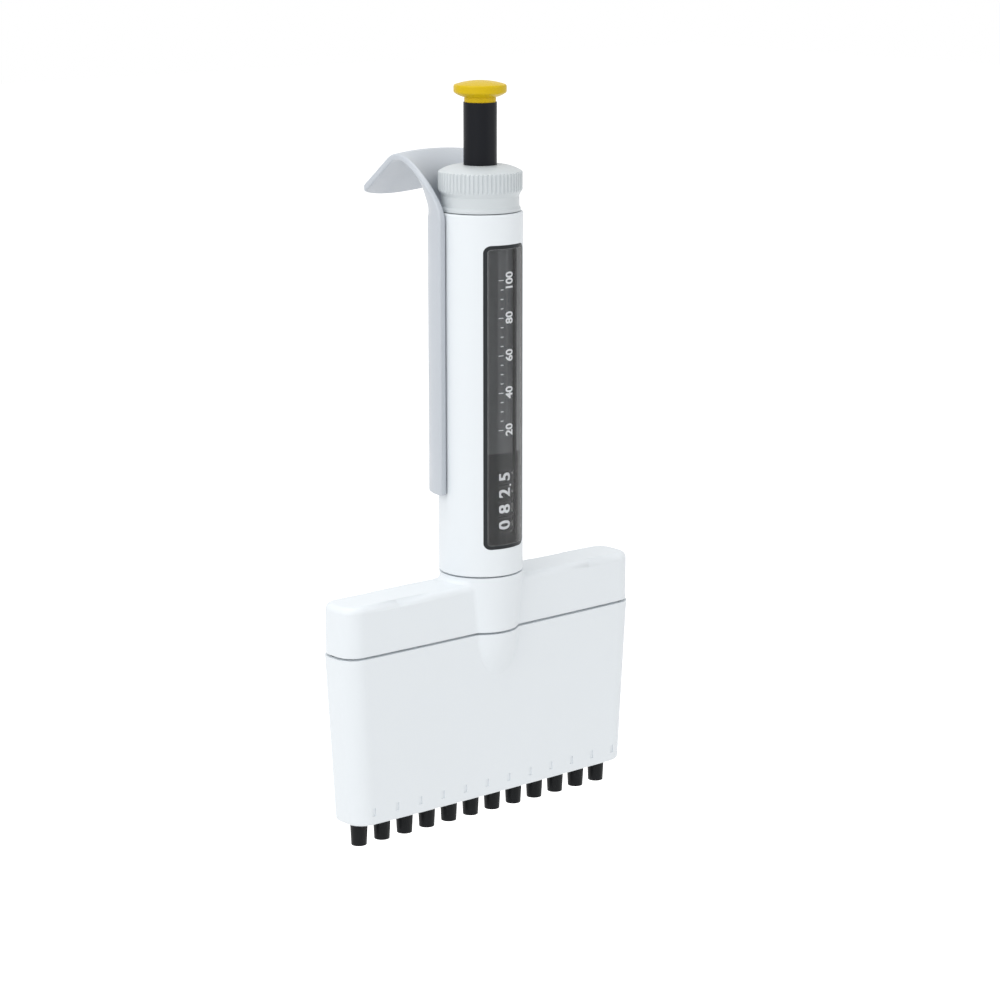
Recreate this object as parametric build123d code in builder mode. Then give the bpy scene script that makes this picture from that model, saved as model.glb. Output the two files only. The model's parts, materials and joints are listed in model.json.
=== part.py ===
from build123d import *
from math import cos, pi, radians, sin, sqrt
import os

# Twelve-channel adjustable pipette, in millimetres.
# The origin lies on the handle's axis, level with the lower ends of the tip cones.
# +Z points up, X runs along the row of channels and +Y points to the back, where the hook is.

# Clearances
running_gap = 0.06  # radial, a shaft in its bore
passing_gap = 0.3  # pieces of different bodies that pass each other
seat_gap = 0.03  # radial, a piece fixed in another

# Volumes and strokes
full_volume = 100.0
set_volume = 82.5
full_stroke = 16.0
blowout_stroke = 3.0
plunger_travel = full_stroke * set_volume / full_volume + blowout_stroke
ejector_travel = 6.0

# Channels
channel_count = 12
channel_pitch = 9.0
cone_tip_radius = 2.43
cone_root_radius = 2.9
cone_bore_radius = 0.9
cone_flange_radius = 3.7
cone_flange_height = 1.6
cone_spigot_radius = 2.3
cone_spigot_height = 4.0
piston_radius = sqrt(full_volume / (full_stroke * pi))
piston_head_radius = 2.2
piston_head_height = 1.0
seal_radius = 2.6
seal_height = 1.6

# Manifold block and piston plate
block_end = 3.5
block_width = 11.0
block_corner_radius = 2.75
retainer_height = 2.0
retainer_screw_channels = (-5, -2, 2, 5)
guide_rod_channels = 8
guide_rod_radius = 1.5
guide_rod_depth = 6.0
screw_head_radius = 1.6
screw_head_height = 1.0
screw_shank_radius = 0.8
screw_shank_length = 4.0
plate_end = 3.1
plate_height = 3.0
plate_width = 9.0
plate_corner_radius = 2.25
clamp_height = 1.0
hub_radius = 3.8
hub_height = 2.0
cup_depth = 2.2

# Ejector casing
casing_bottom = 7.9
casing_top = 61.15
casing_wall = 1.5
casing_floor = 2.0
casing_end_gap = 1.05
casing_side_gap = 0.65
casing_flare = 3.23
casing_bow = 0.71
casing_foot_draft = 0.5
casing_corner_radius = 6.2
casing_edge_radius = 1.0
boss_radius = 11.83
boss_nose_height = 14.9
boss_nose_radius = 8.0
boss_wall = 1.8
mark_width = 1.3
mark_height = 2.5
mark_depth = 0.3
mark_lift = 3.0

# Manifold cover
parting_gap = 0.75
cover_inset = 0.3
cover_height = 15.6
cover_roof = 1.8
cover_edge_radius = 2.2
skirt_depth = 8.0
skirt_wall = 0.9
neck_height = 2.1
neck_radius = 13.1
boss_blend_radius = 1.6

# Ejector yoke
yoke_height = 3.0
yoke_side_gap = 1.0
yoke_hub_radius = 6.2
yoke_hub_height = 5.3
yoke_hub_bore = 4.4
yoke_leg_width = 2.0
yoke_leg_breadth = 5.0
ledge_height = 1.6

# Swivel
spigot_radius = 8.0
spigot_bore_radius = 6.3
spigot_flange_radius = 8.7
spigot_flange_height = 1.5
spigot_lip = 0.7
clip_radius = 9.8
clip_height = 1.0
clip_groove_depth = 0.6

# Handle
handle_gap = 0.4
handle_length = 112.4
handle_radius = 13.2
handle_wall = 1.5
handle_floor = 2.0
handle_edge_radius = 0.5
window_lift = 8.7
window_height = 94.5
window_width = 15.8
window_corner_radius = 2.2
window_ledge = 1.0
window_sink = 0.1
window_thickness = 0.85
label_thickness = 0.4
aperture_width = 5.6
aperture_lift = 4.9
aperture_height = 19.6
aperture_corner_radius = 0.5
bush_height = 5.0

# Counter
drum_lift = 4.7
drum_count = 4
drum_pitch = 5.07
drum_height = 4.8
drum_front_gap = 0.55
drum_back_gap = 1.3
counter_plate_height = 1.0
counter_cap_height = 1.5
counter_sleeve_wall = 1.0
counter_shaft_gap = 0.34

# Volume ring
ring_gap = 0.3
ring_height = 13.8
ring_base_step = 0.4
ring_base_height = 1.4
rim_gap = 0.7
rim_step = 0.95
rim_lift = 6.4
rim_height = 5.4
rim_fade = 1.8
ring_crown_radius = 6.3
ring_corner_radius = 0.5
flute_count = 60
flute_radius = 0.35
volume_sleeve_radius = 7.0
volume_sleeve_wall = 1.55
volume_sleeve_depth = 4.2

# Plunger
rod_radius = 5.12
rod_reach = 18.95
rod_depth = 21.5
rod_collar_height = 2.0
rod_collar_radius = 5.38
rod_spigot_radius = 3.0
rod_spigot_height = 2.9
shaft_radius = 2.5
shaft_engagement = 15.0
button_neck_radius = 4.85
button_neck_height = 1.5
button_rim_radius = 8.1
button_rim_lift = 3.0
button_rim_height = 2.2
button_rim_round = 0.7
button_height = 6.55
button_sag = 0.25
spring_seat_radius = 4.8
spring_seat_height = 3.8
plunger_spring_radius = 3.9
plunger_spring_wire = 0.7
plunger_spring_turns = 10

# Ejector key
hook_lift = 25.4
hook_gap = 0.45
hook_shell_thickness = 2.45
hook_shell_drop = 1.9
hook_thickness = 2.0
hook_edge_radius = 0.7
# Sections of the hook above its half shell: how far back and above the handle's top the side edges lie,
# the tilt in degrees, how far the middle stands off the line between the edges, and how much narrower
# than the shell each side is
hook_bends = [
    (2.6, 4.4, 13, 12.8, 0.9),
    (7.0, 8.7, 28, 9.8, 0.8),
    (12.2, 12.2, 46, 5.7, 1.0),
    (17.2, 14.4, 64, 2.0, 1.4),
    (22.0, 15.3, 80, -0.9, 2.1),
]
hook_bend_radius = 7.0
hook_bend_angle = 48.0
hook_tip_length = 22.0
hook_reach = 43.8
hook_corner_reach = 38.6
hook_corner_radius = 7.0
hook_tip_edge_radius = 0.5
carriage_lift = 20.8
carriage_height = 10.0
carriage_width = 12.4
carriage_gap = 0.4
carriage_face_depth = 0.3
lug_width = 7.2
lug_height = 8.0
ejector_rod_width = 4.0
ejector_rod_thickness = 2.2
ejector_rod_gap = 1.3
foot_wall = 2.84
foot_flange_height = 1.5
ejector_spring_radius = 1.3
ejector_spring_wire = 0.5
ejector_spring_turns = 7
ejector_spring_spacing = 8.8
ejector_spring_depth = 8.3

# Lengths and widths that follow from the sizes above
row_length = (channel_count - 1) * channel_pitch
block_length = row_length + 2 * block_end
plate_length = row_length + 2 * plate_end
casing_foot_length = block_length + 2 * (casing_wall + casing_end_gap)
casing_end_width = block_width + 2 * (casing_wall + casing_side_gap) + casing_foot_draft
casing_middle_width = casing_end_width + 2 * casing_bow
skirt_inset = casing_wall + passing_gap
yoke_width = casing_end_width - 2 * (skirt_inset + skirt_wall + yoke_side_gap)

# Heights that follow
cone_shoulder = casing_bottom + casing_floor + passing_gap
block_bottom = cone_shoulder + cone_flange_height
cylinder_bottom = block_bottom + cone_spigot_height
piston_bottom = cylinder_bottom + plunger_travel + passing_gap
block_top = piston_bottom + seal_height
retainer_top = block_top + retainer_height
plate_bottom = retainer_top + screw_head_height + 2 * passing_gap + plunger_travel
plate_top = plate_bottom + plate_height
clamp_top = plate_top + clamp_height
cup_floor = clamp_top + hub_height - cup_depth
yoke_bottom = clamp_top + 2 * passing_gap + ejector_travel
yoke_hub_top = yoke_bottom + yoke_hub_height
cover_bottom = casing_top + parting_gap
cover_top = cover_bottom + cover_height
cover_ceiling = cover_top - cover_roof
skirt_bottom = cover_bottom - skirt_depth
ledge_top = skirt_bottom - 2 * passing_gap
guide_rod_bottom = block_top - guide_rod_depth
neck_top = cover_top + neck_height
handle_bottom = neck_top + handle_gap
handle_top = handle_bottom + handle_length
clip_bottom = handle_bottom + handle_floor + passing_gap
spigot_top = clip_bottom + clip_height + spigot_lip
foot_bottom = yoke_hub_top + passing_gap
foot_top = spigot_top + passing_gap + ejector_travel + foot_flange_height
window_bottom = handle_bottom + window_lift
aperture_bottom = window_bottom + aperture_lift
drum_bottom = window_bottom + drum_lift
drum_stack_top = drum_bottom + (drum_count - 1) * drum_pitch + drum_height
counter_floor = drum_bottom - passing_gap
counter_ceiling = drum_stack_top + passing_gap
counter_top = counter_ceiling + counter_cap_height
spring_seat_top = counter_top + spring_seat_height
carriage_bottom = counter_top + carriage_lift
lug_bottom = carriage_bottom + (carriage_height - lug_height) / 2
ring_bottom = handle_top + ring_gap
ring_top = ring_bottom + ring_height
rim_bottom = ring_bottom + rim_lift
rim_top = rim_bottom + rim_height
sleeve_bottom = counter_top + 2 * passing_gap
sleeve_top = ring_bottom + volume_sleeve_depth
rod_top = ring_top + rod_reach
rod_bottom = ring_top - rod_depth
shaft_bottom = cup_floor + passing_gap
shaft_top = rod_bottom + shaft_engagement
collar_top = sleeve_top - passing_gap
hook_bottom = handle_bottom + hook_lift
hook_shell_top = handle_top - hook_shell_drop

# Radii that follow
handle_bore = handle_radius - handle_wall
window_outer = handle_radius - window_sink
window_inner = window_outer - window_thickness
casing_boss_bore = boss_radius - boss_wall
skirt_boss_radius = casing_boss_bore - passing_gap
carriage_outer_radius = handle_bore - carriage_gap
carriage_face = carriage_outer_radius - carriage_face_depth
ejector_rod_centre = handle_bore - ejector_rod_gap - ejector_rod_thickness / 2
drum_front = window_inner - label_thickness - drum_front_gap
drum_back = ejector_rod_centre - ejector_rod_thickness / 2 - drum_back_gap
drum_radius = (drum_front + drum_back) / 2
drum_offset = (drum_front - drum_back) / 2
counter_sleeve_radius = drum_offset + shaft_radius + counter_shaft_gap + counter_sleeve_wall
drum_bore = counter_sleeve_radius + running_gap
foot_radius = spigot_bore_radius - running_gap
hook_inner_radius = handle_radius + hook_gap
hook_outer_radius = hook_inner_radius + hook_shell_thickness
hook_shell_radius = (hook_outer_radius + hook_inner_radius) / 2
rim_radius = hook_inner_radius - rim_gap
ring_radius = rim_radius - rim_step
ring_base_radius = ring_radius + ring_base_step


def in_line(spacing=channel_pitch, count=channel_count):
    """Places along the row of channels."""
    return GridLocations(spacing, 1, count, 1)


def turning(*points):
    """The closed outline through (radius, height) points, for a turned piece."""
    with BuildSketch(Plane.XZ) as outline:
        with BuildLine():
            Polyline(*points, close=True)
        make_face()
    return outline.sketch


def discs(radius, height, centres=None):
    """Circles of one radius at a height, on the axis or at the given places."""
    with BuildSketch(Plane.XY.offset(height)) as circles:
        with centres or Locations((0, 0)):
            Circle(radius)
    return circles.sketch


def block(width, depth, height, x=0.0, y=0.0, corner=0.0):
    """A rectangle with round corners at a height."""
    with BuildSketch(Plane.XY.offset(height)) as rectangle:
        with Locations((x, y)):
            Rectangle(width, depth)
        if corner:
            fillet(rectangle.vertices(), corner)
    return rectangle.sketch


def housing_half_length(level, inset=0.0):
    """Half the housing's length at a level of its taper, less an inset."""
    rise = (level - casing_bottom) / (casing_top - casing_bottom)
    return casing_foot_length / 2 + rise * casing_flare - inset


def housing_plan(height, inset, level):
    """The housing's plan at a level of its taper, moved in by an inset and drawn at a height."""
    half_length = housing_half_length(level, inset)
    draft = (casing_top - level) / (casing_top - casing_bottom) * casing_foot_draft / 2
    middle = casing_middle_width / 2 - draft - inset
    end = casing_end_width / 2 - draft - inset
    with BuildSketch(Plane.XY.offset(height)) as plan:
        with BuildLine():
            front = ThreePointArc((-half_length, -end), (0, -middle), (half_length, -end))
            back = ThreePointArc((half_length, end), (0, middle), (-half_length, end))
            Line(front @ 1, back @ 0)
            Line(back @ 1, front @ 0)
        make_face()
        fillet(plan.vertices(), casing_corner_radius - inset)
    return plan.sketch


def boss_seams(piece):
    """The edges where the round boss meets the housing's faces."""
    seams = piece.edges().filter_by(GeomType.BSPLINE)
    return seams.filter_by(lambda edge: abs(edge.center().X) < boss_radius and edge.length < 4 * boss_radius)


def coil(radius, wire, turns, bottom, top, centre=(0.0, 0.0)):
    """A compression spring between two heights."""
    height = top - bottom - wire
    start = (centre[0], centre[1], bottom + wire / 2)
    with BuildPart() as spring:
        with BuildLine() as path:
            Helix(pitch=height / turns, height=height, radius=radius, center=start)
        with BuildSketch(Plane(origin=path.line @ 0, z_dir=path.line % 0)):
            Circle(wire / 2)
        sweep(path=path.line, is_frenet=True)
    return spring.part


# Where the yoke's legs end, inside the cover's skirt
leg_reach = housing_half_length(skirt_bottom, skirt_inset + skirt_wall + passing_gap)


# Tip cones: the twelve nozzles that the disposable tips are pushed on
with BuildPart() as tip_cone:
    revolve(
        turning(
            (cone_bore_radius, 0),
            (cone_tip_radius, 0),
            (cone_root_radius, cone_shoulder),
            (cone_flange_radius, cone_shoulder),
            (cone_flange_radius, block_bottom),
            (cone_spigot_radius, block_bottom),
            (cone_spigot_radius, cylinder_bottom),
            (cone_bore_radius, cylinder_bottom),
        ),
        axis=Axis.Z,
    )

with BuildPart() as tip_cones:
    with in_line():
        add(tip_cone.part)

# Manifold block: a bar with twelve cylinders
rod_places = in_line(guide_rod_channels * channel_pitch, 2)
retainer_screw_places = Locations(*[(place * channel_pitch, 0) for place in retainer_screw_channels])

with BuildPart() as manifold_block:
    extrude(
        block(block_length, block_width, block_bottom, corner=block_corner_radius),
        block_top - block_bottom,
    )
    extrude(
        discs(cone_spigot_radius + seat_gap, block_bottom, in_line()),
        cone_spigot_height,
        mode=Mode.SUBTRACT,
    )
    extrude(
        discs(piston_radius + running_gap, cylinder_bottom, in_line()),
        block_top - cylinder_bottom,
        mode=Mode.SUBTRACT,
    )
    extrude(discs(seal_radius + seat_gap, block_top, in_line()), -seal_height, mode=Mode.SUBTRACT)
    extrude(discs(guide_rod_radius + seat_gap, block_top, rod_places), -guide_rod_depth, mode=Mode.SUBTRACT)
    extrude(
        discs(screw_shank_radius + seat_gap, block_bottom, rod_places),
        block_top - block_bottom,
        mode=Mode.SUBTRACT,
    )
    extrude(
        discs(screw_head_radius + seat_gap, block_bottom, rod_places),
        screw_head_height,
        mode=Mode.SUBTRACT,
    )
    extrude(
        discs(screw_shank_radius + seat_gap, block_top, retainer_screw_places),
        -screw_shank_length,
        mode=Mode.SUBTRACT,
    )

# Piston seals, and the plate that holds them down with its screws
with BuildPart() as piston_seals:
    extrude(discs(seal_radius, block_top, in_line()), -seal_height)
    extrude(discs(piston_radius + running_gap, block_top, in_line()), -seal_height, mode=Mode.SUBTRACT)

with BuildPart() as seal_retainer:
    extrude(block(block_length, block_width, block_top, corner=block_corner_radius), retainer_height)
    extrude(discs(piston_radius + passing_gap, block_top, in_line()), retainer_height, mode=Mode.SUBTRACT)
    extrude(discs(guide_rod_radius + seat_gap, block_top, rod_places), retainer_height, mode=Mode.SUBTRACT)
    extrude(
        discs(screw_shank_radius + seat_gap, block_top, retainer_screw_places),
        retainer_height,
        mode=Mode.SUBTRACT,
    )

with BuildPart() as retainer_screws:
    extrude(discs(screw_head_radius, retainer_top, retainer_screw_places), screw_head_height)
    extrude(
        discs(screw_shank_radius, retainer_top, retainer_screw_places),
        -retainer_height - screw_shank_length,
    )

# Guide rods, screwed to the block from below
with BuildPart() as guide_rods:
    extrude(discs(guide_rod_radius, guide_rod_bottom, rod_places), cover_ceiling - guide_rod_bottom)
    extrude(
        discs(screw_shank_radius + seat_gap, guide_rod_bottom, rod_places),
        screw_shank_length,
        mode=Mode.SUBTRACT,
    )

with BuildPart() as guide_rod_screws:
    extrude(discs(screw_head_radius, block_bottom, rod_places), screw_head_height)
    extrude(
        discs(screw_shank_radius, block_bottom, rod_places),
        guide_rod_bottom + screw_shank_length - block_bottom,
    )

# Pistons, with heads held between the piston plate and its clamp
with BuildPart() as pistons:
    extrude(discs(piston_radius, piston_bottom, in_line()), plate_top - piston_bottom)
    extrude(discs(piston_head_radius, plate_top, in_line()), -piston_head_height)

with BuildPart() as piston_plate:
    extrude(block(plate_length, plate_width, plate_bottom, corner=plate_corner_radius), plate_height)
    extrude(discs(piston_radius + seat_gap, plate_bottom, in_line()), plate_height, mode=Mode.SUBTRACT)
    extrude(
        discs(piston_head_radius + seat_gap, plate_top, in_line()),
        -piston_head_height,
        mode=Mode.SUBTRACT,
    )
    extrude(discs(guide_rod_radius + running_gap, plate_bottom, rod_places), plate_height, mode=Mode.SUBTRACT)

with BuildPart() as piston_clamp:
    extrude(block(plate_length, plate_width, plate_top, corner=plate_corner_radius), clamp_height)
    extrude(discs(hub_radius, clamp_top), hub_height)
    extrude(discs(shaft_radius + passing_gap, clamp_top + hub_height), -cup_depth, mode=Mode.SUBTRACT)
    extrude(discs(guide_rod_radius + passing_gap, plate_top, rod_places), clamp_height, mode=Mode.SUBTRACT)

# Ejector casing: a tapering shell with bowed sides, a floor with holes and a boss that fades into the face
with BuildPart() as ejector_casing:
    loft([housing_plan(casing_bottom, 0, casing_bottom), housing_plan(casing_top, 0, casing_top)])
    fillet(ejector_casing.faces().sort_by(Axis.Z)[0].edges(), casing_edge_radius)
    with BuildSketch(Plane.XZ):
        with BuildLine():
            nose_bottom = casing_top - boss_nose_height
            nose = TangentArc((boss_radius, casing_top), (boss_nose_radius, nose_bottom), tangent=(0, -1))
            Polyline(nose @ 1, (0, nose_bottom), (0, casing_top), nose @ 0)
        make_face()
    revolve(axis=Axis.Z)
    fillet(boss_seams(ejector_casing), boss_blend_radius)
    inner_floor = casing_bottom + casing_floor
    cavity_floor = housing_plan(inner_floor, casing_wall, inner_floor)
    loft([cavity_floor, housing_plan(casing_top, casing_wall, casing_top)], mode=Mode.SUBTRACT)
    extrude(discs(casing_boss_bore, casing_top), skirt_bottom - casing_top, mode=Mode.SUBTRACT)
    ledge_start = leg_reach - yoke_leg_width - passing_gap
    ledge_length = housing_half_length(casing_top, casing_wall) - ledge_start
    for side in (-1, 1):
        x = side * (ledge_start + ledge_length / 2)
        extrude(block(ledge_length, yoke_leg_breadth, ledge_top, x), -ledge_height)
    extrude(
        discs(cone_root_radius + passing_gap, casing_bottom, in_line()),
        casing_floor,
        mode=Mode.SUBTRACT,
    )
    for channel in in_line():
        x = channel.position.X
        bow = (2 * x / casing_foot_length) ** 2 * casing_bow
        face = (casing_middle_width - casing_foot_draft) / 2 - bow
        extrude(
            block(mark_width, 2 * mark_depth, casing_bottom + mark_lift, x, -face),
            mark_height,
            mode=Mode.SUBTRACT,
        )

# Ejector yoke: a bridge inside the housing that carries the casing on its two legs
with BuildPart() as ejector_yoke:
    extrude(block(2 * (leg_reach - yoke_leg_width), yoke_width, yoke_bottom), yoke_height)
    extrude(block(2 * leg_reach, yoke_leg_breadth, yoke_bottom), yoke_height)
    for side in (-1, 1):
        x = side * (leg_reach - yoke_leg_width / 2)
        extrude(block(yoke_leg_width, yoke_leg_breadth, ledge_top, x), yoke_bottom - ledge_top)
    extrude(discs(yoke_hub_radius, yoke_bottom), yoke_hub_height)
    extrude(discs(yoke_hub_bore, yoke_bottom), yoke_hub_height, mode=Mode.SUBTRACT)
    extrude(discs(guide_rod_radius + passing_gap, yoke_bottom, rod_places), yoke_height, mode=Mode.SUBTRACT)

# Manifold cover: the upper housing, with a skirt inside the casing and a neck for the swivel
with BuildPart() as manifold_cover:
    extrude(housing_plan(cover_bottom, cover_inset, casing_top), cover_top - cover_bottom)
    fillet(manifold_cover.faces().sort_by(Axis.Z)[-1].edges(), cover_edge_radius)
    revolve(
        turning(
            (0, cover_bottom),
            (boss_radius, cover_bottom),
            (neck_radius, neck_top),
            (0, neck_top),
        ),
        axis=Axis.Z,
    )
    fillet(boss_seams(manifold_cover), boss_blend_radius)
    extrude(housing_plan(skirt_bottom, skirt_inset, skirt_bottom), skirt_depth)
    extrude(discs(skirt_boss_radius, skirt_bottom), skirt_depth)
    extrude(
        housing_plan(skirt_bottom, skirt_inset + skirt_wall, skirt_bottom),
        cover_ceiling - skirt_bottom,
        mode=Mode.SUBTRACT,
    )
    extrude(
        discs(skirt_boss_radius - skirt_wall, skirt_bottom),
        cover_ceiling - skirt_bottom,
        mode=Mode.SUBTRACT,
    )
    extrude(discs(spigot_radius + seat_gap, cover_ceiling), neck_top - cover_ceiling, mode=Mode.SUBTRACT)

# Swivel: a flanged spigot that the handle turns on, and the clip that keeps it there
with BuildPart() as swivel_spigot:
    revolve(
        turning(
            (spigot_bore_radius, cover_ceiling - spigot_flange_height),
            (spigot_flange_radius, cover_ceiling - spigot_flange_height),
            (spigot_flange_radius, cover_ceiling),
            (spigot_radius, cover_ceiling),
            (spigot_radius, clip_bottom),
            (spigot_radius - clip_groove_depth, clip_bottom),
            (spigot_radius - clip_groove_depth, clip_bottom + clip_height),
            (spigot_radius, clip_bottom + clip_height),
            (spigot_radius, spigot_top),
            (spigot_bore_radius, spigot_top),
        ),
        axis=Axis.Z,
    )

with BuildPart() as swivel_clip:
    extrude(discs(clip_radius, clip_bottom), clip_height)
    extrude(discs(spigot_radius - clip_groove_depth + seat_gap, clip_bottom), clip_height, mode=Mode.SUBTRACT)
    extrude(
        block(spigot_radius, 2 * clip_radius, clip_bottom, y=-clip_radius),
        clip_height,
        mode=Mode.SUBTRACT,
    )


def window_panel(inner, outer, margin):
    """A curved panel on the handle's front, between two radii and inside the window by a margin."""
    corner = max(window_corner_radius - margin, running_gap)
    with BuildPart() as panel:
        with BuildSketch(Plane.XZ):
            with Locations((0, window_bottom + window_height / 2)):
                RectangleRounded(window_width - 2 * margin, window_height - 2 * margin, corner)
        extrude(amount=handle_radius)
        with BuildSketch(Plane.XY.offset(window_bottom)):
            Circle(outer)
            Circle(inner, mode=Mode.SUBTRACT)
        extrude(amount=window_height, mode=Mode.INTERSECT)
    return panel.part


# Handle: a tube with a floor that turns on the spigot, a window at the front and a slot at the back
with BuildPart() as handle_shell:
    revolve(
        turning(
            (spigot_radius + running_gap, handle_bottom),
            (handle_radius, handle_bottom),
            (handle_radius, handle_top),
            (handle_bore, handle_top),
            (handle_bore, handle_bottom + handle_floor),
            (spigot_radius + running_gap, handle_bottom + handle_floor),
        ),
        axis=Axis.Z,
    )
    rims = handle_shell.edges().filter_by(lambda e: abs(e.length - 2 * pi * handle_radius) < running_gap)
    fillet(rims, handle_edge_radius)
    add(window_panel(window_inner, handle_radius + passing_gap, 0), mode=Mode.SUBTRACT)
    add(window_panel(handle_bore - passing_gap, handle_radius, window_ledge), mode=Mode.SUBTRACT)
    slot_bottom = lug_bottom - ejector_travel - 2 * passing_gap
    slot_top = lug_bottom + lug_height + 2 * passing_gap
    extrude(
        block(lug_width + 2 * passing_gap, handle_radius, slot_bottom, y=handle_radius),
        slot_top - slot_bottom,
        mode=Mode.SUBTRACT,
    )

with BuildPart() as display_window:
    add(window_panel(window_inner, window_outer, seat_gap))

with BuildPart() as label_insert:
    add(window_panel(window_inner - label_thickness, window_inner, window_ledge + seat_gap))
    with BuildSketch(Plane.XZ):
        with Locations((0, aperture_bottom + aperture_height / 2)):
            RectangleRounded(aperture_width, aperture_height, aperture_corner_radius)
    extrude(amount=handle_radius, mode=Mode.SUBTRACT)

with BuildPart() as top_bush:
    extrude(discs(handle_bore - seat_gap, handle_top), -bush_height)
    extrude(discs(volume_sleeve_radius + running_gap, handle_top), -bush_height, mode=Mode.SUBTRACT)

# Counter: a sleeve between two plates, with four digit drums round it
counter_centre = (0, -drum_offset)


def rod_notch(height):
    """The opening in a counter plate that the ejector rod passes through."""
    depth = handle_bore - ejector_rod_centre + ejector_rod_thickness / 2 + passing_gap
    return block(ejector_rod_width + 2 * passing_gap, depth, height, y=handle_bore - depth / 2)


with BuildPart() as counter_base:
    extrude(discs(handle_bore - seat_gap, counter_floor), -counter_plate_height)
    extrude(
        discs(counter_sleeve_radius - counter_sleeve_wall, counter_floor, Locations(counter_centre)),
        -counter_plate_height,
        mode=Mode.SUBTRACT,
    )
    extrude(rod_notch(counter_floor), -counter_plate_height, mode=Mode.SUBTRACT)

with BuildPart() as counter_sleeve:
    extrude(
        discs(counter_sleeve_radius, counter_floor, Locations(counter_centre)),
        counter_ceiling - counter_floor,
    )
    extrude(
        discs(counter_sleeve_radius - counter_sleeve_wall, counter_floor, Locations(counter_centre)),
        counter_ceiling - counter_floor,
        mode=Mode.SUBTRACT,
    )

with BuildPart() as counter_cap:
    extrude(discs(handle_bore - seat_gap, counter_ceiling), counter_cap_height)
    extrude(discs(spring_seat_radius, counter_top), spring_seat_height)
    extrude(
        discs(shaft_radius + passing_gap, counter_ceiling),
        spring_seat_top - counter_ceiling,
        mode=Mode.SUBTRACT,
    )
    extrude(rod_notch(counter_ceiling), counter_cap_height, mode=Mode.SUBTRACT)


def digit_drum(place):
    """A drum of the counter, counted from the lowest."""
    bottom = drum_bottom + place * drum_pitch
    with BuildPart() as drum:
        extrude(discs(drum_radius, bottom, Locations(counter_centre)), drum_height)
        extrude(discs(drum_bore, bottom, Locations(counter_centre)), drum_height, mode=Mode.SUBTRACT)
    return drum.part


with BuildPart() as drum_hundreds:
    add(digit_drum(0))

with BuildPart() as drum_tens:
    add(digit_drum(1))

with BuildPart() as drum_units:
    add(digit_drum(2))

with BuildPart() as drum_tenths:
    add(digit_drum(3))

# Volume ring: a collar with a domed crown and a fluted rim, on the sleeve that sets the stroke
with BuildPart() as volume_ring:
    with BuildSketch(Plane.XZ) as ring_outline:
        with BuildLine():
            crown = TangentArc((ring_crown_radius, ring_top), (rim_radius, rim_top), tangent=(1, 0))
            Polyline(
                crown @ 1,
                (rim_radius, rim_bottom),
                (ring_radius, rim_bottom - rim_fade),
                (ring_radius, ring_bottom + ring_base_height),
                (ring_base_radius, ring_bottom + ring_base_height / 2),
                (ring_base_radius, ring_bottom),
                (volume_sleeve_radius + seat_gap, ring_bottom),
                (volume_sleeve_radius + seat_gap, sleeve_top),
                (rod_radius + running_gap, sleeve_top),
                (rod_radius + running_gap, ring_top),
                crown @ 0,
            )
        make_face()
        fillet(ring_outline.vertices().group_by(Axis.X)[-1], ring_corner_radius)
    revolve(axis=Axis.Z)
    extrude(
        discs(flute_radius, rim_bottom - rim_fade, PolarLocations(rim_radius, flute_count)),
        ring_top - rim_bottom + rim_fade,
        mode=Mode.SUBTRACT,
    )

with BuildPart() as volume_sleeve:
    extrude(discs(volume_sleeve_radius, sleeve_bottom), sleeve_top - sleeve_bottom)
    extrude(
        discs(volume_sleeve_radius - volume_sleeve_wall, sleeve_bottom),
        sleeve_top - sleeve_bottom,
        mode=Mode.SUBTRACT,
    )

# Plunger: the button, the rod that shows above the ring, and the shaft that pushes the pistons
with BuildPart() as plunger_rod:
    revolve(
        turning(
            (shaft_radius + seat_gap, rod_bottom),
            (rod_radius, rod_bottom),
            (rod_radius, collar_top - rod_collar_height),
            (rod_collar_radius, collar_top - rod_collar_height),
            (rod_collar_radius, collar_top),
            (rod_radius, collar_top),
            (rod_radius, rod_top),
            (rod_spigot_radius, rod_top),
            (rod_spigot_radius, rod_top + rod_spigot_height),
            (0, rod_top + rod_spigot_height),
            (0, shaft_top),
            (shaft_radius + seat_gap, shaft_top),
        ),
        axis=Axis.Z,
    )

with BuildPart() as transfer_shaft:
    extrude(discs(shaft_radius, shaft_bottom), shaft_top - shaft_bottom)

with BuildPart() as push_button:
    socket_top = rod_top + rod_spigot_height
    with BuildSketch(Plane.XZ) as button_outline:
        with BuildLine():
            neck_end = (button_neck_radius, rod_top + button_neck_height)
            rim_start = (button_rim_radius, rod_top + button_rim_lift)
            rim_end = (button_rim_radius, rod_top + button_rim_lift + button_rim_height)
            dome = TangentArc((0, rod_top + button_height), rim_end, tangent=(1, 0))
            flare = ThreePointArc(
                neck_end,
                ((neck_end[0] + rim_start[0]) / 2, (neck_end[1] + rim_start[1]) / 2 - button_sag),
                rim_start,
            )
            Line(dome @ 1, flare @ 1)
            Polyline(
                flare @ 0,
                (button_neck_radius, rod_top),
                (rod_spigot_radius + seat_gap, rod_top),
                (rod_spigot_radius + seat_gap, socket_top),
                (0, socket_top),
                dome @ 0,
            )
        make_face()
        fillet(button_outline.vertices().group_by(Axis.X)[-1], button_rim_round)
    revolve(axis=Axis.Z)

with BuildPart() as plunger_spring:
    add(coil(plunger_spring_radius, plunger_spring_wire, plunger_spring_turns, spring_seat_top, rod_bottom))


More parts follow.
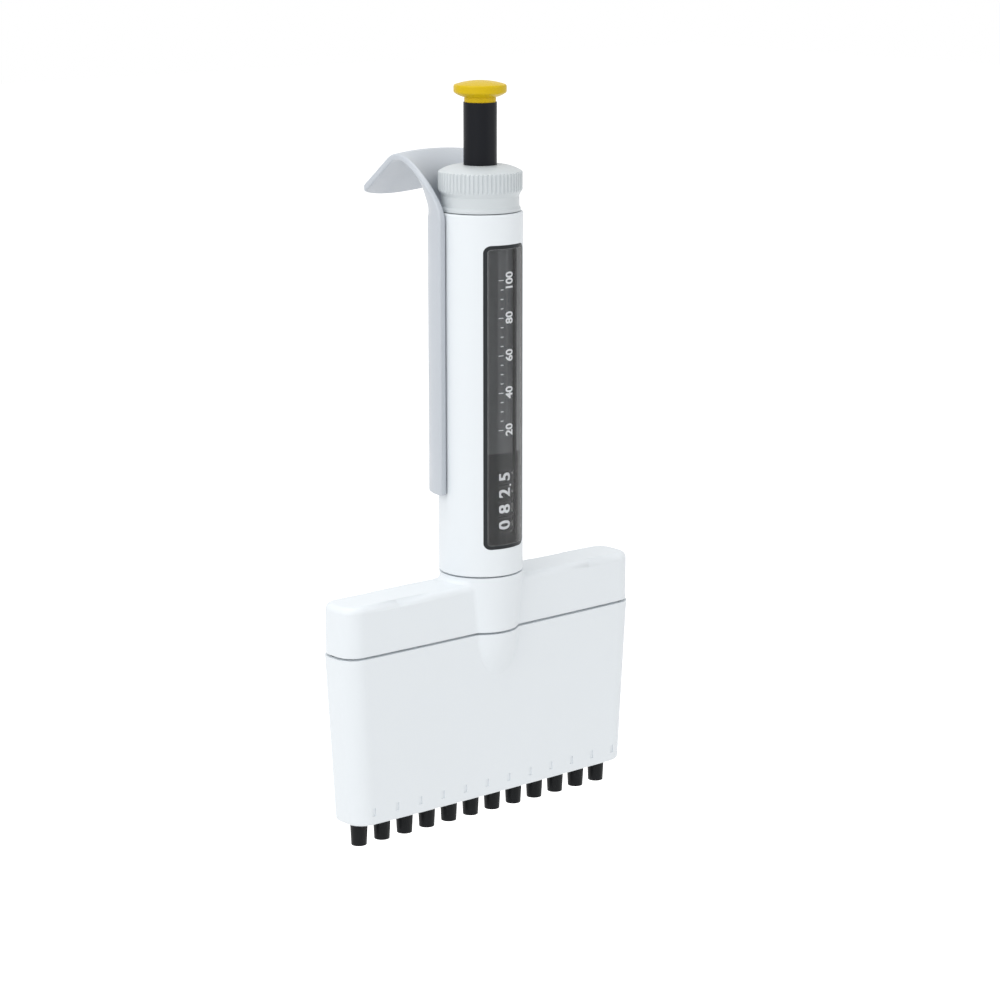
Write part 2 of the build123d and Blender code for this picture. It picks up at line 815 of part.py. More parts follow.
def hook_section(back, height, tilt, bow, half_width, thickness):
    """A bowed strip with round edges, on a plane tilted back: its edges' place and its middle's offset."""
    off_line = Vector(0, cos(radians(tilt)), -sin(radians(tilt)))
    plane = Plane((0, back, height), x_dir=(1, 0, 0), z_dir=Vector(1, 0, 0).cross(off_line))
    curve = (half_width**2 + bow**2) / (2 * bow)
    centre = bow - curve
    with BuildSketch(plane) as section:
        with BuildLine():
            sides = []
            for radius in (curve - thickness / 2, curve + thickness / 2):
                across = radius * half_width / curve
                level = centre - centre * radius / curve
                sides.append(ThreePointArc((-across, level), (0, centre + radius), (across, level)))
            Line(sides[0] @ 0, sides[1] @ 0)
            Line(sides[0] @ 1, sides[1] @ 1)
        make_face()
        fillet(section.vertices(), hook_edge_radius)
    return section.sketch


# Ejector hook: a half shell round the handle's back that flares and bends over into a rest for the finger
hook_shell = hook_section(0, hook_shell_top, 0, hook_shell_radius, hook_shell_radius, hook_shell_thickness)
bend_back, bend_rise, bend_tilt = hook_bends[-1][:3]
bend_centre = (
    0,
    bend_back + hook_bend_radius * cos(radians(bend_tilt)),
    handle_top + bend_rise - hook_bend_radius * sin(radians(bend_tilt)),
)

with BuildPart() as hook_rest:
    sections = [hook_shell]
    for back, rise, tilt, bow, narrowing in hook_bends:
        half_width = hook_outer_radius - narrowing
        sections.append(hook_section(back, handle_top + rise, tilt, bow, half_width, hook_thickness))
    loft(sections)
    revolve(sections[-1], axis=Axis(bend_centre, (-1, 0, 0)), revolution_arc=hook_bend_angle)
    extrude(hook_rest.faces().sort_by(Axis.Y)[-1], amount=hook_tip_length)
    with BuildSketch(Plane.XY.offset(hook_shell_top)) as hook_plan:
        with BuildLine():
            tip_arc = ThreePointArc(
                (hook_outer_radius, hook_corner_reach),
                (0, hook_reach),
                (-hook_outer_radius, hook_corner_reach),
            )
            plan_side = hook_outer_radius + passing_gap
            Polyline(tip_arc @ 1, (-plan_side, -passing_gap), (plan_side, -passing_gap), tip_arc @ 0)
        make_face()
        fillet(hook_plan.vertices().group_by(Axis.Y)[-1], hook_corner_radius)
    extrude(amount=hook_tip_length, mode=Mode.INTERSECT)
    tip_start = hook_corner_reach - hook_corner_radius / 2
    fillet(
        hook_rest.edges().filter_by(lambda edge: edge.bounding_box().min.Y > tip_start),
        hook_tip_edge_radius,
    )

with BuildPart() as ejector_hook:
    extrude(hook_shell, hook_bottom - hook_shell_top)
    add(hook_rest.part)
    lug_back = (hook_inner_radius + hook_outer_radius) / 2
    extrude(
        block(lug_width, lug_back - carriage_face, lug_bottom, y=(lug_back + carriage_face) / 2),
        lug_height,
    )

# Ejector carriage, rod and foot: they pass the hook's push to the yoke through the handle and the swivel
with BuildPart() as ejector_carriage:
    extrude(discs(carriage_outer_radius, carriage_bottom), carriage_height)
    extrude(
        block(carriage_width, carriage_face, carriage_bottom, y=carriage_face / 2),
        carriage_height,
        mode=Mode.INTERSECT,
    )
    extrude(
        discs(volume_sleeve_radius + 2 * passing_gap, carriage_bottom),
        carriage_height,
        mode=Mode.SUBTRACT,
    )
    extrude(
        block(
            ejector_rod_width + 2 * seat_gap,
            ejector_rod_thickness + 2 * seat_gap,
            carriage_bottom,
            y=ejector_rod_centre,
        ),
        lug_height,
        mode=Mode.SUBTRACT,
    )

with BuildPart() as ejector_rod:
    extrude(
        block(ejector_rod_width, ejector_rod_thickness, foot_top, y=ejector_rod_centre),
        carriage_bottom + lug_height - foot_top,
    )

with BuildPart() as ejector_foot:
    tongue = ejector_rod_centre + ejector_rod_thickness / 2
    extrude(discs(foot_radius, foot_bottom), foot_top - foot_bottom)
    extrude(block(ejector_rod_width, tongue, foot_top, y=tongue / 2), -foot_flange_height)
    extrude(discs(foot_radius - foot_wall, foot_bottom), foot_top - foot_bottom, mode=Mode.SUBTRACT)

with BuildPart() as ejector_springs:
    for side in (-1, 1):
        spring_place = (side * ejector_spring_spacing / 2, ejector_spring_depth)
        add(
            coil(
                ejector_spring_radius,
                ejector_spring_wire,
                ejector_spring_turns,
                counter_top,
                carriage_bottom,
                spring_place,
            )
        )

pieces = {
    "tip_cones": tip_cones,
    "manifold_block": manifold_block,
    "piston_seals": piston_seals,
    "seal_retainer": seal_retainer,
    "retainer_screws": retainer_screws,
    "guide_rods": guide_rods,
    "guide_rod_screws": guide_rod_screws,
    "pistons": pistons,
    "piston_plate": piston_plate,
    "piston_clamp": piston_clamp,
    "ejector_casing": ejector_casing,
    "ejector_yoke": ejector_yoke,
    "manifold_cover": manifold_cover,
    "swivel_spigot": swivel_spigot,
    "swivel_clip": swivel_clip,
    "handle_shell": handle_shell,
    "display_window": display_window,
    "label_insert": label_insert,
    "top_bush": top_bush,
    "counter_base": counter_base,
    "counter_sleeve": counter_sleeve,
    "counter_cap": counter_cap,
    "drum_hundreds": drum_hundreds,
    "drum_tens": drum_tens,
    "drum_units": drum_units,
    "drum_tenths": drum_tenths,
    "volume_ring": volume_ring,
    "volume_sleeve": volume_sleeve,
    "plunger_rod": plunger_rod,
    "transfer_shaft": transfer_shaft,
    "push_button": push_button,
    "plunger_spring": plunger_spring,
    "ejector_hook": ejector_hook,
    "ejector_carriage": ejector_carriage,
    "ejector_rod": ejector_rod,
    "ejector_foot": ejector_foot,
    "ejector_springs": ejector_springs,
}

os.makedirs("parts", exist_ok=True)
for name, piece in pieces.items():
    piece.part.label = name
    export_step(piece.part, f"parts/{name}.step")
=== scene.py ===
import json
import math

import bmesh
import bpy
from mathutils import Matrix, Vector


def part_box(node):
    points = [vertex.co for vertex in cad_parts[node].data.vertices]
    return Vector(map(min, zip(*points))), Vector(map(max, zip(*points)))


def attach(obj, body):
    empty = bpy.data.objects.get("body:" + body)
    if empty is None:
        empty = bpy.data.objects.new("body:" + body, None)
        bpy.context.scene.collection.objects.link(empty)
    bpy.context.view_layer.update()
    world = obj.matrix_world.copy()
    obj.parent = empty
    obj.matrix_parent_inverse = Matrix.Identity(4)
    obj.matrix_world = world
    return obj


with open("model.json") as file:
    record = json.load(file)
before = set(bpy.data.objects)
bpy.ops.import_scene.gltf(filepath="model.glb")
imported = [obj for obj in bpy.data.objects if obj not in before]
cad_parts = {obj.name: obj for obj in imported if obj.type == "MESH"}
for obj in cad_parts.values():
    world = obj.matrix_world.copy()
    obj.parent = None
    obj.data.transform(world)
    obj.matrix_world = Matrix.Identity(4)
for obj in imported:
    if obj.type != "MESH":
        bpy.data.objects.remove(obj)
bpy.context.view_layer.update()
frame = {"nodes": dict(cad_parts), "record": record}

# An adjustable twelve-channel pipette in a plain white studio. Metres, in the frame's own axes:
# +Z up along the handle, X along the row of cones, -Y towards the display window.
MM = 0.001

# Camera: place, direction and lens
CAMERA_PLACE = Vector((-568.57, -671.66, 299.33)) * MM
CAMERA_AZIMUTH = math.radians(40.641)
CAMERA_PITCH = math.radians(12.656)
CAMERA_FOCAL_PIXELS = 2885.9
IMAGE_PIXELS = 1000
SENSOR_WIDTH = 36.0
CAMERA_CLIP_START = 0.05

# Plastics: linear colour, roughness, how far the colour varies, and specular level
PLASTICS = {
    "housing_white": ((0.77, 0.81, 0.84, 1), 0.45, 0.008, 0.5),
    "collar_grey": ((0.59, 0.63, 0.65, 1), 0.36, 0.012, 0.5),
    "hook_grey": ((0.505, 0.54, 0.585, 1), 0.36, 0.015, 0.5),
    "button_yellow": ((0.62, 0.435, 0.006, 1), 0.36, 0.03, 0.15),
    "rod_black": ((0.011, 0.012, 0.015, 1), 0.34, 0.08, 0.09),
    "cone_black": ((0.008, 0.009, 0.010, 1), 0.42, 0.1, 0.12),
    "drum_black": ((0.008, 0.009, 0.010, 1), 0.5, 0.08, 0.1),
    "inner_plastic": ((0.72, 0.74, 0.76, 1), 0.45, 0.03, 0.5),
    "seal_rubber": ((0.02, 0.02, 0.02, 1), 0.6, 0.1, 0.5),
}

# Other colours, linear
PRINT_BLACK = (0.022, 0.025, 0.028, 1)
PRINT_WHITE = (0.80, 0.81, 0.82, 1)
STEEL = (0.60, 0.60, 0.61, 1)
STEEL_ROUGHNESS = 0.28
SMOKED_CLEAR = (0.90, 0.91, 0.92, 1)
FLOOR_COLOUR = (0.85, 0.85, 0.85, 1)
WHITE = (1, 1, 1, 1)

# Where nearly all of a noise's values lie
NOISE_LOW = 0.3
NOISE_HIGH = 0.7

# Moulded plastic: noise in cycles per metre, and the depth of its grain
FLOW_SCALE = 28.0
FLOW_DETAIL = 4.0
FLOW_STRETCH = (1.0, 1.0, 0.35)
GLOSS_SCALE = 160.0
GLOSS_SPREAD = 0.05
GRAIN_SCALE = 5200.0
GRAIN_DETAIL = 2.0
GRAIN_STRENGTH = 0.03
GRAIN_DEPTH = 0.04 * MM
PLASTIC_IOR = 1.5

# Turned steel: rings close together along Z, nearly even across it
RING_SCALE = 900.0
RING_DETAIL = 2.0
RING_STRETCH = (0.05, 0.05, 3.0)
RING_TONES = (0.9, 1.08)
RING_GLOSS = (-0.07, 0.08)
RING_STRENGTH = 0.2
RING_DEPTH = 0.01 * MM

# Matt print: an ink film of uneven thickness over a fine grain
FILM_SCALE = 1500.0
FILM_DARKEST = 0.93
MATT_SCALE = 700.0
MATT_ROUGHNESS = (0.42, 0.6)
MATT_GRAIN_SCALE = 2500.0
MATT_GRAIN_DEPTH = 0.01 * MM
INK_GRAIN = 0.15
PAPER_GRAIN = 0.1
PAPER_FILM_SCALE = 900.0
PAPER_FILM_MOST = 0.10
PAPER_SPECULAR = 0.05

# Counter: four drums under the window, whose digits read from the bottom up
DRUM_AXIS_Y = -2.2 * MM
DRUM_BODIES = ["hundreds_drum", "tens_drum", "units_drum", "tenths_drum"]
DRUM_NODES = ["drum_hundreds", "drum_tens", "drum_units", "drum_tenths"]
DIGITS_PER_DRUM = 10
SHOWN_DIGITS = [0, 8, 2, 5]
DIGIT_HEIGHT = 4.7 * MM
DIGIT_STRETCH = 0.92
DIGIT_WEIGHT = 0.03
POINT_RADIUS = 0.35 * MM
POINT_ACROSS = 1.4 * MM
DOT_SIDES = 16
INK_THICKNESS = 0.02 * MM
BEND_SLICE = 0.25 * MM

# Scale on the insert: across from the window's middle, and up
SCALE_VALUES = [20, 40, 60, 80, 100]
SCALE_START = 126.0 * MM
SCALE_STEP = 11.6 * MM
SCALE_NUMBER_HEIGHT = 2.9 * MM
SCALE_NUMBER_MIDDLE = 0.9 * MM
SCALE_TICK_ROOT = -1.3 * MM
SCALE_LONG_TICK = 1.7 * MM
SCALE_SHORT_TICK = 1.0 * MM
SCALE_TICK_WIDTH = 0.22 * MM
SCALE_TICKS_PER_STEP = 4

# Window: its printed rim, and its faint orange peel
WINDOW_CORNER = 2.2 * MM
WINDOW_BORDER = 1.3 * MM
WINDOW_BORDER_BLUR = 0.15 * MM
WINDOW_GLOSS_SCALE = 90.0
WINDOW_ROUGHNESS = (0.02, 0.07)
WINDOW_PEEL_SCALE = 120.0
WINDOW_PEEL_DETAIL = 1.0
WINDOW_PEEL = 0.08
WINDOW_PEEL_DEPTH = 0.04 * MM
WINDOW_IOR = 1.34
WINDOW_SPECULAR = 0.3

# Insert: X from the middle and the level of grey there, above the counter's zone and in it. The grey
# falls towards the right with a near-black band, and the pale strip at the right edge is painted light.
INSERT_ZONE_EDGE = 118.5 * MM
INSERT_ZONE_BLUR = 0.4 * MM
INSERT_TINT = (0.96, 1.0, 1.03)
# Above the counter: the rise to 0.30 at 4.5 mm and on is a pale strip of painted light
INSERT_UPPER_GREY_AND_PAINTED_LIGHT = [
    (-7.0 * MM, 0.17),
    (-4.0 * MM, 0.13),
    (0.0, 0.10),
    (1.8 * MM, 0.06),
    (2.6 * MM, 0.004),
    (4.2 * MM, 0.004),
    (4.5 * MM, 0.30),
    (7.0 * MM, 0.22),
]
# In the counter's zone: the rise from 5.6 mm on is the same pale strip of painted light
INSERT_LOWER_GREY_AND_PAINTED_LIGHT = [
    (-7.0 * MM, 0.08),
    (-4.0 * MM, 0.05),
    (0.0, 0.025),
    (3.4 * MM, 0.006),
    (5.2 * MM, 0.006),
    (5.6 * MM, 0.14),
    (7.0 * MM, 0.18),
]

# Studio: a floor below the part, an even world, and lamps that face the part's middle
FLOOR_DROP = 0.12
FLOOR_SIZE = 8.0
FLOOR_ROUGHNESS = 0.9
FLOOR_LIFT = 0.6
WORLD_STRENGTH = 0.66
LAMP_AIM = Vector((0, 0, 0.11))

# Lamps: name, place, side in metres and power in watts
LAMPS = [
    ("key_light", (-1.2, -0.35, 0.8), 0.9, 7.5),
    ("top_light", (-0.2, 0.2, 1.4), 0.9, 6.0),
    ("fill_light", (0.7, -1.1, 0.5), 1.0, 2.8),
]


# ---------------------------------------------------------------- materials
def new_material(name):
    """A node material with its shader and its object coordinates."""
    material = bpy.data.materials.new(name)
    material.use_nodes = True
    nodes = material.node_tree.nodes
    shader = nodes["Principled BSDF"]
    coordinates = nodes.new("ShaderNodeTexCoord")
    return material, shader, coordinates.outputs["Object"]


def noise(material, coordinates, scale, detail=3.0, stretch=None):
    """A noise value of a scale in cycles per metre, drawn out along an axis where stretch says so."""
    nodes, links = material.node_tree.nodes, material.node_tree.links
    texture = nodes.new("ShaderNodeTexNoise")
    texture.inputs["Scale"].default_value = scale
    texture.inputs["Detail"].default_value = detail
    if stretch:
        mapping = nodes.new("ShaderNodeMapping")
        mapping.inputs["Scale"].default_value = stretch
        links.new(coordinates, mapping.inputs["Vector"])
        coordinates = mapping.outputs["Vector"]
    links.new(coordinates, texture.inputs["Vector"])
    return texture.outputs["Fac"]


def remap(material, value, low, high, start=NOISE_LOW, end=NOISE_HIGH):
    """The value spread from start..end to low..high."""
    nodes, links = material.node_tree.nodes, material.node_tree.links
    spread = nodes.new("ShaderNodeMapRange")
    spread.inputs["From Min"].default_value = start
    spread.inputs["From Max"].default_value = end
    spread.inputs["To Min"].default_value = low
    spread.inputs["To Max"].default_value = high
    links.new(value, spread.inputs["Value"])
    return spread.outputs["Result"]


def blend_colours(material, factor, first, second):
    """A colour between two colours, each a plain colour or a socket."""
    nodes, links = material.node_tree.nodes, material.node_tree.links
    mix = nodes.new("ShaderNodeMix")
    mix.data_type = "RGBA"
    for name, colour in (("A", first), ("B", second)):
        if isinstance(colour, bpy.types.NodeSocket):
            links.new(colour, mix.inputs[name])
        else:
            mix.inputs[name].default_value = colour
    links.new(factor, mix.inputs["Factor"])
    return mix.outputs["Result"]


def tinted(colour, factor):
    """The colour made darker or lighter."""
    return tuple(min(1.0, c * factor) for c in colour[:3]) + (1,)


def bumped(material, height, strength, distance):
    """A bump from a height value."""
    nodes, links = material.node_tree.nodes, material.node_tree.links
    bump = nodes.new("ShaderNodeBump")
    bump.inputs["Strength"].default_value = strength
    bump.inputs["Distance"].default_value = distance
    links.new(height, bump.inputs["Height"])
    return bump.outputs["Normal"]


def arithmetic(material, operation, first, second=None):
    """A sum on one or two numbers, each a plain number or a socket."""
    nodes, links = material.node_tree.nodes, material.node_tree.links
    node = nodes.new("ShaderNodeMath")
    node.operation = operation
    for socket, value in zip(node.inputs, (first, second)):
        if isinstance(value, bpy.types.NodeSocket):
            links.new(value, socket)
        elif value is not None:
            socket.default_value = value
    return node.outputs["Value"]


def split_axes(material, coordinates):
    """The X, Y and Z of a place."""
    nodes, links = material.node_tree.nodes, material.node_tree.links
    split = nodes.new("ShaderNodeSeparateXYZ")
    links.new(coordinates, split.inputs["Vector"])
    return split.outputs


def border_distance(material, coordinates, low, high, corner):
    """How far outside a rounded rectangle in X and Z a place lies, in metres. It is negative inside."""
    axes = split_axes(material, coordinates)
    past = []
    for name, start, end in (("X", low[0], high[0]), ("Z", low[1], high[1])):
        offset = arithmetic(material, "SUBTRACT", axes[name], (start + end) / 2)
        reach = arithmetic(material, "ABSOLUTE", offset)
        past.append(arithmetic(material, "SUBTRACT", reach, (end - start) / 2 - corner))
    outside = [arithmetic(material, "MAXIMUM", value, 0.0) for value in past]
    squares = [arithmetic(material, "POWER", value, 2.0) for value in outside]
    length = arithmetic(material, "SQRT", arithmetic(material, "ADD", *squares))
    inside = arithmetic(material, "MINIMUM", arithmetic(material, "MAXIMUM", *past), 0.0)
    return arithmetic(material, "SUBTRACT", arithmetic(material, "ADD", length, inside), corner)


def moulded_plastic(name, colour, roughness, variation, specular):
    """Injection-moulded plastic: a fine spark-eroded grain, faint flow marks and uneven gloss."""
    material, shader, place = new_material(name)
    links = material.node_tree.links
    cloud = remap(material, noise(material, place, FLOW_SCALE, FLOW_DETAIL, FLOW_STRETCH), 0.0, 1.0)
    tone = blend_colours(material, cloud, tinted(colour, 1 - variation), tinted(colour, 1 + variation))
    links.new(tone, shader.inputs["Base Color"])
    shine = noise(material, place, GLOSS_SCALE)
    gloss = remap(material, shine, roughness - GLOSS_SPREAD, roughness + GLOSS_SPREAD)
    links.new(gloss, shader.inputs["Roughness"])
    erosion = noise(material, place, GRAIN_SCALE, GRAIN_DETAIL)
    links.new(bumped(material, erosion, GRAIN_STRENGTH, GRAIN_DEPTH), shader.inputs["Normal"])
    shader.inputs["IOR"].default_value = PLASTIC_IOR
    shader.inputs["Specular IOR Level"].default_value = specular
    return material


def smoked_window(low, high):
    """Clear moulded plastic with a faint orange peel, and black print round its rim."""
    material, shader, place = new_material("window_dark")
    links = material.node_tree.links
    distance = border_distance(material, place, low, high, WINDOW_CORNER)
    rim = remap(material, distance, 0.0, 1.0, -WINDOW_BORDER, -WINDOW_BORDER + WINDOW_BORDER_BLUR)
    links.new(blend_colours(material, rim, SMOKED_CLEAR, PRINT_BLACK), shader.inputs["Base Color"])
    links.new(arithmetic(material, "SUBTRACT", 1.0, rim), shader.inputs["Transmission Weight"])
    gloss = remap(material, noise(material, place, WINDOW_GLOSS_SCALE), *WINDOW_ROUGHNESS)
    links.new(gloss, shader.inputs["Roughness"])
    peel = noise(material, place, WINDOW_PEEL_SCALE, WINDOW_PEEL_DETAIL)
    links.new(bumped(material, peel, WINDOW_PEEL, WINDOW_PEEL_DEPTH), shader.inputs["Normal"])
    shader.inputs["IOR"].default_value = WINDOW_IOR
    shader.inputs["Specular IOR Level"].default_value = WINDOW_SPECULAR
    return material


def colour_ramp(material, value, stops):
    """A grey that changes with a value in metres, from a list of places and levels."""
    nodes, links = material.node_tree.nodes, material.node_tree.links
    start, end = stops[0][0], stops[-1][0]
    ramp = nodes.new("ShaderNodeValToRGB")
    elements = ramp.color_ramp.elements
    while len(elements) < len(stops):
        elements.new(1.0)
    for element, (place, level) in zip(elements, stops):
        element.position = (place - start) / (end - start)
        element.color = tuple(level * share for share in INSERT_TINT) + (1,)
    links.new(remap(material, value, 0.0, 1.0, start, end), ramp.inputs["Fac"])
    return ramp.outputs["Color"]


def matt_surface(material, shader, place, grain):
    """An uneven matt gloss and a fine grain for print."""
    links = material.node_tree.links
    gloss = remap(material, noise(material, place, MATT_SCALE), *MATT_ROUGHNESS)
    links.new(gloss, shader.inputs["Roughness"])
    fibres = noise(material, place, MATT_GRAIN_SCALE)
    links.new(bumped(material, fibres, grain, MATT_GRAIN_DEPTH), shader.inputs["Normal"])


def insert_card():
    """The insert: grey, darker towards the right and round the counter, with a pale strip of painted
    light at the right.
    """
    material, shader, place = new_material("label_grey")
    axes = split_axes(material, place)
    upper = colour_ramp(material, axes["X"], INSERT_UPPER_GREY_AND_PAINTED_LIGHT)
    lower = colour_ramp(material, axes["X"], INSERT_LOWER_GREY_AND_PAINTED_LIGHT)
    zone_end = INSERT_ZONE_EDGE + INSERT_ZONE_BLUR
    zone = remap(material, axes["Z"], 0.0, 1.0, INSERT_ZONE_EDGE, zone_end)
    # The card's grey with a painted highlight: the pale strip at the right edge
    card_grey_and_painted_light = blend_colours(material, zone, lower, upper)
    film = remap(material, noise(material, place, PAPER_FILM_SCALE), 0.0, PAPER_FILM_MOST)
    printed = blend_colours(material, film, card_grey_and_painted_light, PRINT_BLACK)
    material.node_tree.links.new(printed, shader.inputs["Base Color"])
    matt_surface(material, shader, place, PAPER_GRAIN)
    shader.inputs["Specular IOR Level"].default_value = PAPER_SPECULAR
    return material


def turned_metal(name, colour, roughness):
    """Turned steel with fine rings round its axis."""
    material, shader, place = new_material(name)
    links = material.node_tree.links
    rings = noise(material, place, RING_SCALE, RING_DETAIL, RING_STRETCH)
    tones = [tinted(colour, factor) for factor in RING_TONES]
    tone = blend_colours(material, remap(material, rings, 0.0, 1.0), *tones)
    links.new(tone, shader.inputs["Base Color"])
    gloss = remap(material, rings, *[roughness + change for change in RING_GLOSS])
    links.new(gloss, shader.inputs["Roughness"])
    links.new(bumped(material, rings, RING_STRENGTH, RING_DEPTH), shader.inputs["Normal"])
    shader.inputs["Metallic"].default_value = 1.0
    return material


def ink(name, colour):
    """Matt print with a slightly uneven ink film."""
    material, shader, place = new_material(name)
    film = remap(material, noise(material, place, FILM_SCALE), 0.0, 1.0)
    tone = blend_colours(material, film, tinted(colour, FILM_DARKEST), colour)
    material.node_tree.links.new(tone, shader.inputs["Base Color"])
    matt_surface(material, shader, place, INK_GRAIN)
    return material


window_low, window_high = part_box("display_window")
slots = {
    "label_grey": insert_card(),
    "steel": turned_metal("steel", STEEL, STEEL_ROUGHNESS),
    "window_dark": smoked_window((window_low.x, window_low.z), (window_high.x, window_high.z)),
}
for name, finish in PLASTICS.items():
    slots[name] = moulded_plastic(name, *finish)
print_white = ink("print_white", PRINT_WHITE)

for part in frame["record"]["subparts"]:
    node = frame["nodes"][part["node"]]
    node.data.materials.clear()
    node.data.materials.append(slots[part["material_slot"]])


# ---------------------------------------------------------------- print: digits, scale and decimal point
def flat_numerals(text, height, stretch):
    """Numerals as a flat mesh round the origin, of a given height, made wider by a factor."""
    curve = bpy.data.curves.new("numerals", "FONT")
    curve.body = text
    curve.offset = DIGIT_WEIGHT
    shape = bpy.data.objects.new("numerals", curve)
    bpy.context.scene.collection.objects.link(shape)
    evaluated = shape.evaluated_get(bpy.context.evaluated_depsgraph_get())
    flat = bpy.data.meshes.new_from_object(evaluated)
    bpy.data.objects.remove(shape)
    bpy.data.curves.remove(curve)
    across = [v.co.x for v in flat.vertices]
    along = [v.co.y for v in flat.vertices]
    scale = height / (max(along) - min(along))
    middle = ((max(across) + min(across)) / 2, (max(along) + min(along)) / 2)
    for vertex in flat.vertices:
        vertex.co.x = (vertex.co.x - middle[0]) * scale * stretch
        vertex.co.y = (vertex.co.y - middle[1]) * scale
    return flat


def flat_bar(width, height):
    """A flat bar round the origin."""
    bar = bpy.data.meshes.new("bar")
    x, y = width / 2, height / 2
    bar.from_pydata([(-x, -y, 0), (x, -y, 0), (x, y, 0), (-x, y, 0)], [], [(0, 1, 2, 3)])
    return bar


def flat_dot(radius):
    """A flat disc round the origin."""
    dot = bpy.data.meshes.new("dot")
    turns = [2 * math.pi * i / DOT_SIDES for i in range(DOT_SIDES)]
    rim = [(radius * math.cos(turn), radius * math.sin(turn), 0) for turn in turns]
    dot.from_pydata(rim, [], [tuple(range(DOT_SIDES))])
    return dot


def wrapped_print(name, marks, radius, axis_y, body):
    """Flat marks as one mesh bent round an upright axis, riding a body. Each mark has the angle and
    height of its place; it reads upwards, with its tops towards -X at the front."""
    sheet = bmesh.new()
    for flat, angle, rise in marks:
        piece = bmesh.new()
        piece.from_mesh(flat)
        slices = math.ceil(max(abs(v.co.y) for v in piece.verts) / BEND_SLICE)
        for step in range(-slices, slices + 1):
            everything = piece.verts[:] + piece.edges[:] + piece.faces[:]
            bmesh.ops.bisect_plane(
                piece, geom=everything, plane_co=(0, step * BEND_SLICE, 0), plane_no=(0, 1, 0)
            )
        for vertex in piece.verts:
            turn = angle - vertex.co.y / radius
            vertex.co = Vector(
                (radius * math.sin(turn), axis_y - radius * math.cos(turn), rise + vertex.co.x)
            )
        piece.to_mesh(flat)
        piece.free()
        sheet.from_mesh(flat)
        bpy.data.meshes.remove(flat)
    mesh = bpy.data.meshes.new(name)
    sheet.to_mesh(mesh)
    sheet.free()
    mesh.materials.append(print_white)
    mesh.shade_smooth()
    print_object = bpy.data.objects.new(name, mesh)
    bpy.context.scene.collection.objects.link(print_object)
    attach(print_object, body)


for body, node, shown in zip(DRUM_BODIES, DRUM_NODES, SHOWN_DIGITS):
    low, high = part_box(node)
    rise = (low.z + high.z) / 2
    digits = []
    for value in range(DIGITS_PER_DRUM):
        angle = -2 * math.pi / DIGITS_PER_DRUM * (value - shown)
        digits.append((flat_numerals(str(value), DIGIT_HEIGHT, DIGIT_STRETCH), angle, rise))
    wrapped_print("digits_" + node, digits, high.x + INK_THICKNESS, DRUM_AXIS_Y, body)

units_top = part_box("drum_units")[1].z
tenths_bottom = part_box("drum_tenths")[0].z
insert_radius = -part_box("label_insert")[0].y + INK_THICKNESS
point = (flat_dot(POINT_RADIUS), POINT_ACROSS / insert_radius, (units_top + tenths_bottom) / 2)
wrapped_print("decimal_point", [point], insert_radius, 0.0, "handle")

scale_marks = []
number_angle = SCALE_NUMBER_MIDDLE / insert_radius
for index, value in enumerate(SCALE_VALUES):
    rise = SCALE_START + index * SCALE_STEP
    scale_marks.append((flat_numerals(str(value), SCALE_NUMBER_HEIGHT, 1.0), number_angle, rise))
for index in range((len(SCALE_VALUES) - 1) * SCALE_TICKS_PER_STEP + 1):
    length = SCALE_SHORT_TICK if index % SCALE_TICKS_PER_STEP else SCALE_LONG_TICK
    angle = (SCALE_TICK_ROOT - length / 2) / insert_radius
    rise = SCALE_START + index * SCALE_STEP / SCALE_TICKS_PER_STEP
    scale_marks.append((flat_bar(SCALE_TICK_WIDTH, length), angle, rise))
wrapped_print("volume_scale", scale_marks, insert_radius, 0.0, "handle")


# ---------------------------------------------------------------- studio
def seen_directly(tree):
    """1 for rays that show a surface as it is: from the camera, off gloss and through glass."""
    path = tree.nodes.new("ShaderNodeLightPath")
    seen = path.outputs["Is Camera Ray"]
    for name in ("Is Glossy Ray", "Is Transmission Ray"):
        either = tree.nodes.new("ShaderNodeMath")
        either.operation = "MAXIMUM"
        tree.links.new(seen, either.inputs[0])
        tree.links.new(path.outputs[name], either.inputs[1])
        seen = either.outputs["Value"]
    return seen


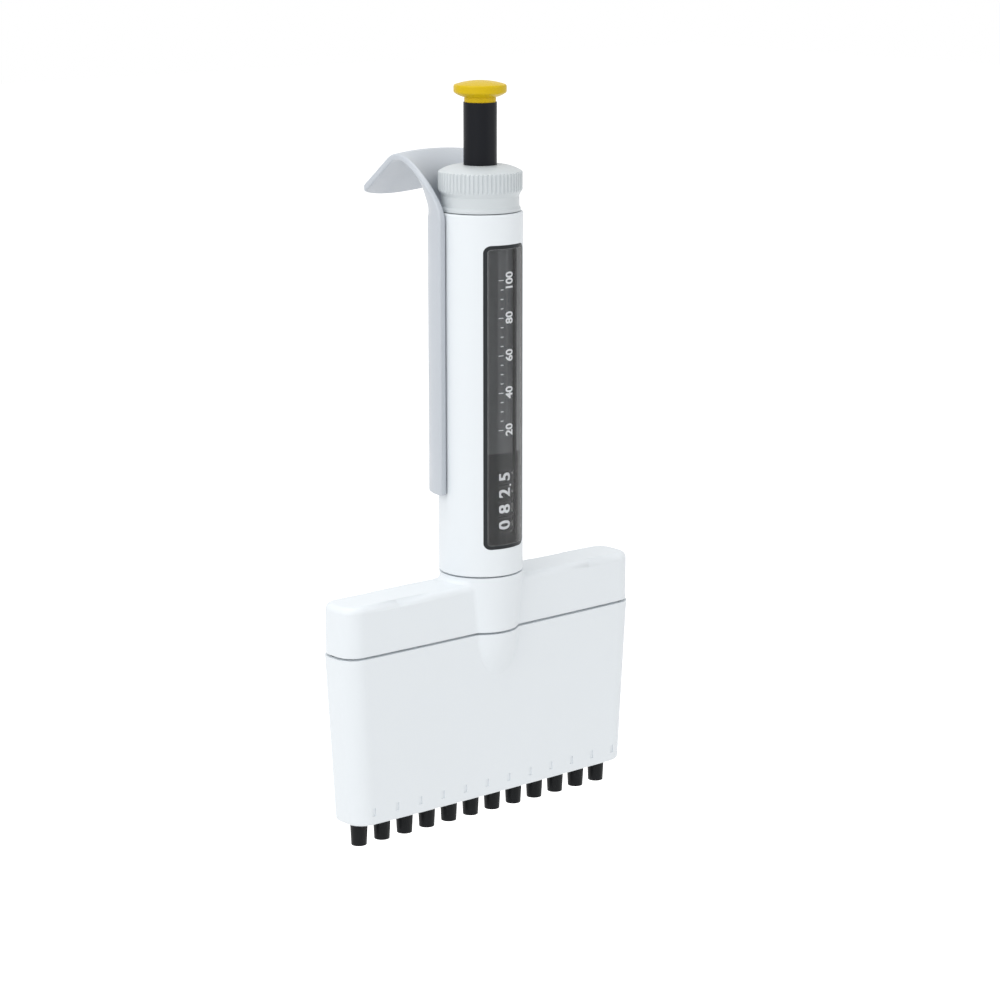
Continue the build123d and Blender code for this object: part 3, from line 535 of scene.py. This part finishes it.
def plain_floor():
    """A white floor below the part, which is held up by its hook. It keeps the part's shadow."""
    mesh = bpy.data.meshes.new("floor")
    half = FLOOR_SIZE / 2
    corners = [(-half, -half), (half, -half), (half, half), (-half, half)]
    mesh.from_pydata([(x, y, -FLOOR_DROP) for x, y in corners], [], [(0, 1, 2, 3)])
    floor = bpy.data.objects.new("floor", mesh)
    bpy.context.scene.collection.objects.link(floor)
    material = bpy.data.materials.new("floor")
    material.use_nodes = True
    tree = material.node_tree
    shader = tree.nodes["Principled BSDF"]
    shader.inputs["Base Color"].default_value = FLOOR_COLOUR
    shader.inputs["Roughness"].default_value = FLOOR_ROUGHNESS
    shader.inputs["Specular IOR Level"].default_value = 0.0
    shader.inputs["Emission Color"].default_value = WHITE
    lift = tree.nodes.new("ShaderNodeMath")
    lift.operation = "MULTIPLY"
    lift.inputs[1].default_value = FLOOR_LIFT
    tree.links.new(seen_directly(tree), lift.inputs[0])
    tree.links.new(lift.outputs["Value"], shader.inputs["Emission Strength"])
    floor.data.materials.append(material)


def white_world():
    """White where it is seen, and an even softer light for the part."""
    world = bpy.data.worlds.new("studio")
    bpy.context.scene.world = world
    world.use_nodes = True
    tree = world.node_tree
    background = tree.nodes["Background"]
    background.inputs["Color"].default_value = WHITE
    strength = tree.nodes.new("ShaderNodeMapRange")
    strength.inputs["To Min"].default_value = WORLD_STRENGTH
    strength.inputs["To Max"].default_value = 1.0
    tree.links.new(seen_directly(tree), strength.inputs["Value"])
    tree.links.new(strength.outputs["Result"], background.inputs["Strength"])


def soft_box(name, place, side, power):
    """A large square lamp that faces the part."""
    lamp = bpy.data.lights.new(name, "AREA")
    lamp.shape = "SQUARE"
    lamp.size = side
    lamp.energy = power
    box = bpy.data.objects.new(name, lamp)
    bpy.context.scene.collection.objects.link(box)
    box.location = place
    box.rotation_euler = (LAMP_AIM - Vector(place)).to_track_quat("-Z", "Y").to_euler()


def still_camera():
    """The camera at its place, with its lens and direction."""
    data = bpy.data.cameras.new("camera")
    data.sensor_width = SENSOR_WIDTH
    data.lens = CAMERA_FOCAL_PIXELS / IMAGE_PIXELS * SENSOR_WIDTH
    data.clip_start = CAMERA_CLIP_START
    camera = bpy.data.objects.new("camera", data)
    bpy.context.scene.collection.objects.link(camera)
    camera.location = CAMERA_PLACE
    camera.rotation_euler = (math.pi / 2 - CAMERA_PITCH, 0, -CAMERA_AZIMUTH)
    bpy.context.scene.camera = camera


plain_floor()
white_world()
for lamp_values in LAMPS:
    soft_box(*lamp_values)
still_camera()
bpy.context.scene.view_settings.view_transform = "Standard"
